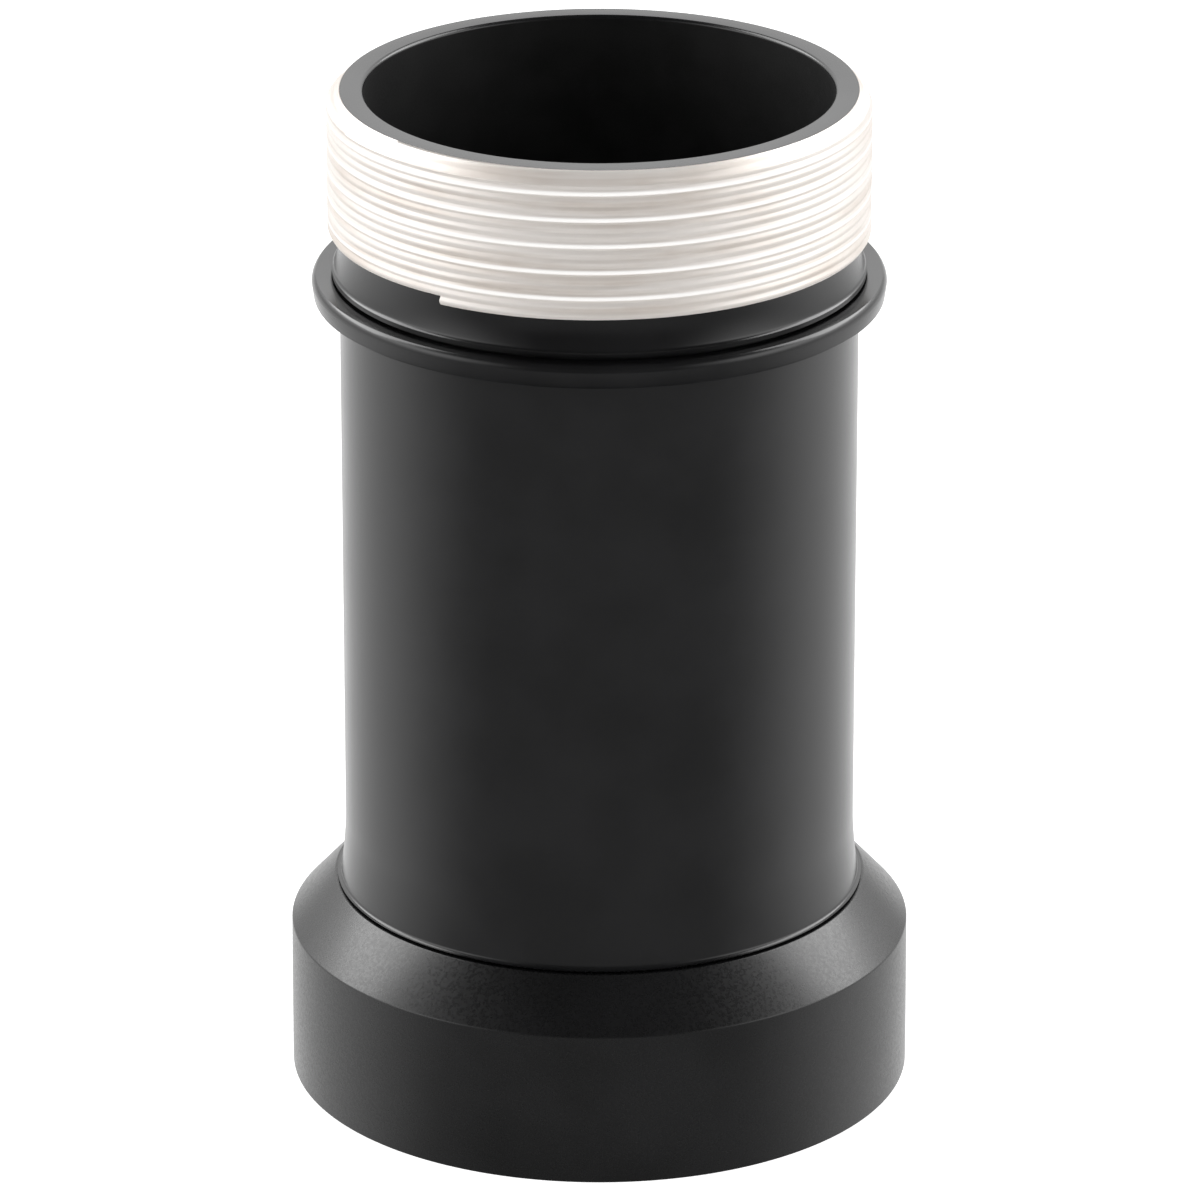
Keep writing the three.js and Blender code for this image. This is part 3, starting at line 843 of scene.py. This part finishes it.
def sleeve(level):
    """A thin sleeve between two baffles, grooved inside against stray light."""
    node_name = f"baffle_sleeve_{level}"
    low, high, outer = low_mm(node_name), high_mm(node_name), radius_mm(node_name)
    inner = outer - 0.4
    grooves = ridges(inner - 0.1, inner + 0.12, low + 0.3, high - 0.3, 0.6)
    outline = [(inner, low), (outer, low, 0.06), (outer, high, 0.06), (inner, high), *reversed(grooves)]
    piece = turned(f"grooved_sleeve_{level}", outline, [SOOT])
    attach(piece, "barrel")
    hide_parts(node_name)


# ---------------------------------------------------------------- making the pieces

main_barrel()
collar_body()
camera_thread()
telescope_socket()
round_ring("collar_seal", "collar_seal_ring", "collar_carriage", RUBBER)
round_ring("socket_seal", "socket_seal_ring", "socket_carriage", RUBBER)
lens_cell()
for screw_number in range(SCREW_COUNT):
    grub_screw(screw_number)
lens("flint_meniscus", "flint_meniscus_lens", FLINT,
     (FLINT_INNER_CURVE, -1), (FLINT_CAMERA_CURVE, -1))
lens("negative_crown", "negative_crown_lens", CROWN,
     (CROWN_SKY_CURVE, 1), (CROWN_INNER_CURVE, -1))
plain_ring("air_gap_spacer", "lens_spacer_ring", LENS_SPACER_BORE, "glass_stack", TURNED, 0.05)
round_ring("glass_cushion", "lens_cushion_ring", "cushion_carriage", RUBBER)
retaining_rings()
plain_ring("cell_shim", "cell_spacer_ring", CELL_SPACER_BORE, "barrel", TURNED, 0.06)
for baffle_level, hole_radius in BAFFLE_HOLES.items():
    baffle(baffle_level, hole_radius)
sleeve("lower")
sleeve("upper")

# ---------------------------------------------------------------- studio

FLOOR_SIZE = 8.0
FLOOR_DROP = 0.02
FLOOR_GLOW = 0.80
SOFTBOX_AZIMUTH = 120
SOFTBOX_ELEVATION = 39
SOFTBOX_DISTANCE = 1.2
SOFTBOX_WIDTH = 0.80
SOFTBOX_HEIGHT = 0.76
SOFTBOX_RADIANCE = 5.0
CAMERA_PLACE = (0.00005, -0.61534, 0.28167)
CAMERA_TILT = 68.47
CAMERA_LENS = 252.72
CAMERA_SENSOR = 36.0


def studio_floor():
    """A plain white floor, seen only from above."""
    work = bmesh.new()
    bmesh.ops.create_grid(work, x_segments=8, y_segments=8, size=FLOOR_SIZE / 2)
    for vertex in work.verts:
        vertex.co.z = -FLOOR_DROP * MM
    material, tree, shader, place = new_material("white_floor")
    tone = noise(tree, place, 600.0)
    tree.links.new(colour_mix(tree, tone, (0.90,) * 3, (0.94,) * 3), shader.inputs["Base Color"])
    shader.inputs["Roughness"].default_value = 0.9
    shader.inputs["Emission Color"].default_value = (1.0, 1.0, 1.0, 1.0)
    shader.inputs["Emission Strength"].default_value = FLOOR_GLOW
    clear = add_node(tree, "ShaderNodeBsdfTransparent")
    backside = add_node(tree, "ShaderNodeNewGeometry").outputs["Backfacing"]
    either = add_node(tree, "ShaderNodeMixShader", {0: backside, 1: shader.outputs[0], 2: clear.outputs[0]})
    tree.links.new(either.outputs[0], tree.nodes["Material Output"].inputs["Surface"])
    floor = finished_object("floor", work, [material])
    if floor.data.polygons[0].normal.z < 0:
        floor.data.flip_normals()
    floor.visible_glossy = False


def studio_world():
    """Soft surroundings, white to the camera.

    Reflections see them dim in front and overhead, and bright at the sides and behind. Diffuse rays see
    plainer ones that are dim behind, so that the ridges of the bare thread still show from the side and
    from behind.
    """
    world = bpy.data.worlds.new("studio")
    bpy.context.scene.world = world
    world.use_nodes = True
    tree = world.node_tree
    direction = add_node(tree, "ShaderNodeTexCoord").outputs["Generated"]
    axes = add_node(tree, "ShaderNodeSeparateXYZ", {0: direction})
    level = add_node(tree, "ShaderNodeVectorMath", {0: direction, 1: (1.0, 1.0, 0.0)}, operation="MULTIPLY")
    unit = add_node(tree, "ShaderNodeVectorMath", {0: level.outputs[0]}, operation="NORMALIZE")
    behind = add_node(tree, "ShaderNodeSeparateXYZ", {0: unit.outputs[0]}).outputs["Y"]
    beneath = grey_ramp(tree, axes.outputs["Z"], 0.15, 1.0, -0.80, -0.37)
    floor_side = grey_ramp(tree, behind, 0.31, 1.22, -0.72, 0.35)
    floor_glow = math_node(tree, "MULTIPLY", floor_side, beneath)
    wall_front = grey_ramp(tree, behind, 0.11, 2.5, -0.92, -0.25)
    wall_low = grey_ramp(tree, axes.outputs["Z"], 0.45, 1.0, 0.02, 0.34)
    wall_back = grey_ramp(tree, behind, 1.0, 0.62, 0.2, 1.0)
    wall_glow = math_node(tree, "MULTIPLY", math_node(tree, "MULTIPLY", wall_front, wall_back), wall_low)
    dimming = grey_ramp(tree, axes.outputs["Z"], 0.0, 1.0, 0.45, 0.75)
    sky = add_node(tree, "ShaderNodeMix", {0: dimming, 2: wall_glow, 3: 0.05}).outputs[0]
    upper = grey_ramp(tree, axes.outputs["Z"], 0.0, 1.0, -0.12, 0.10)
    glow = add_node(tree, "ShaderNodeMix", {0: upper, 2: floor_glow, 3: sky}).outputs[0]
    even_front = grey_ramp(tree, behind, 0.68, 1.25, -1.0, -0.3)
    even_back = grey_ramp(tree, behind, 1.0, 0.15, 0.0, 0.8)
    even = math_node(tree, "MULTIPLY", even_front, even_back)
    ray = add_node(tree, "ShaderNodeLightPath").outputs
    mirrored = add_node(tree, "ShaderNodeMix", {0: ray["Is Diffuse Ray"], 2: glow, 3: even}).outputs[0]
    strength = add_node(tree, "ShaderNodeMix", {0: ray["Is Camera Ray"], 2: mirrored, 3: 1.0}).outputs[0]
    background = tree.nodes["Background"]
    background.inputs["Color"].default_value = (1.0, 1.0, 1.0, 1.0)
    tree.links.new(strength, background.inputs["Strength"])


def softbox(name, azimuth):
    """An area light that only shows in reflections. Azimuth 0 is on the camera's side, 90 to its right."""
    light = bpy.data.lights.new(name, "AREA")
    light.shape = "RECTANGLE"
    light.size = SOFTBOX_WIDTH
    light.size_y = SOFTBOX_HEIGHT
    light.energy = SOFTBOX_RADIANCE * math.pi * SOFTBOX_WIDTH * SOFTBOX_HEIGHT
    lamp = bpy.data.objects.new(name, light)
    bpy.context.scene.collection.objects.link(lamp)
    turn, rise = math.radians(azimuth), math.radians(SOFTBOX_ELEVATION)
    away = Vector((math.sin(turn) * math.cos(rise), -math.cos(turn) * math.cos(rise), math.sin(rise)))
    lamp.location = Vector((0, 0, RIM_TOP * MM / 2)) + away * SOFTBOX_DISTANCE
    lamp.rotation_mode = "QUATERNION"
    lamp.rotation_quaternion = away.to_track_quat("Z", "Y")
    lamp.visible_camera = False
    lamp.visible_diffuse = False


def studio_camera():
    """A long lens in front of the object and above it, looking down at its middle."""
    camera = bpy.data.cameras.new("camera")
    camera.sensor_width = CAMERA_SENSOR
    camera.lens = CAMERA_LENS
    camera.clip_start = 0.01
    holder = bpy.data.objects.new("camera", camera)
    holder.location = CAMERA_PLACE
    holder.rotation_euler = (math.radians(CAMERA_TILT), 0.0, 0.0)
    bpy.context.scene.collection.objects.link(holder)
    bpy.context.scene.camera = holder


studio_floor()
studio_world()
softbox("left_softbox", -SOFTBOX_AZIMUTH)
softbox("right_softbox", SOFTBOX_AZIMUTH)
studio_camera()
bpy.context.scene.view_settings.view_transform = "Standard"
